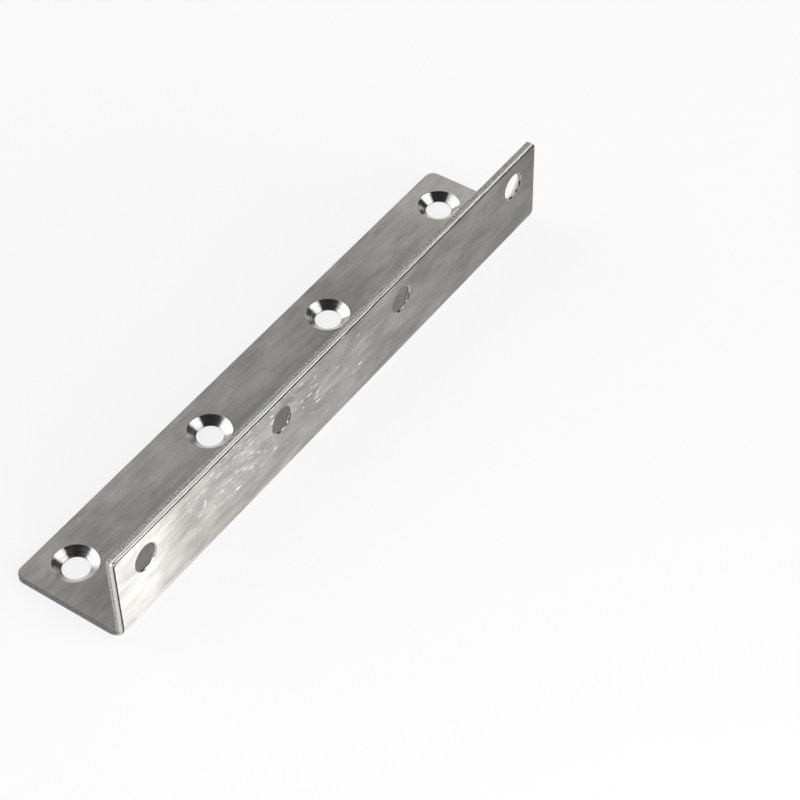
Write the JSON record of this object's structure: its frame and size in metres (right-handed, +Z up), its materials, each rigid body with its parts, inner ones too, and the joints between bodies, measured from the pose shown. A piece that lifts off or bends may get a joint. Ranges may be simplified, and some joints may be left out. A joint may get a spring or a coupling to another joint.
{
  "type": "corner bracket",
  "caption": "Long right-angle corner bracket folded from brushed stainless steel sheet, with a row of countersunk screw holes along each leg.",
  "frame": {"origin": "middle of the bounding box, on the plane of the flat leg's outside face", "axes": "+X along the bend, +Y from the upright leg towards the flat leg's free edge, +Z up the upright leg"},
  "size_m": [0.155, 0.03, 0.025],
  "materials": {
    "steel": "brushed along the length, with rolled and sheared edges"
  },
  "bodies": {
    "root": {"bracket": "steel"}
  },
  "joints": []
}
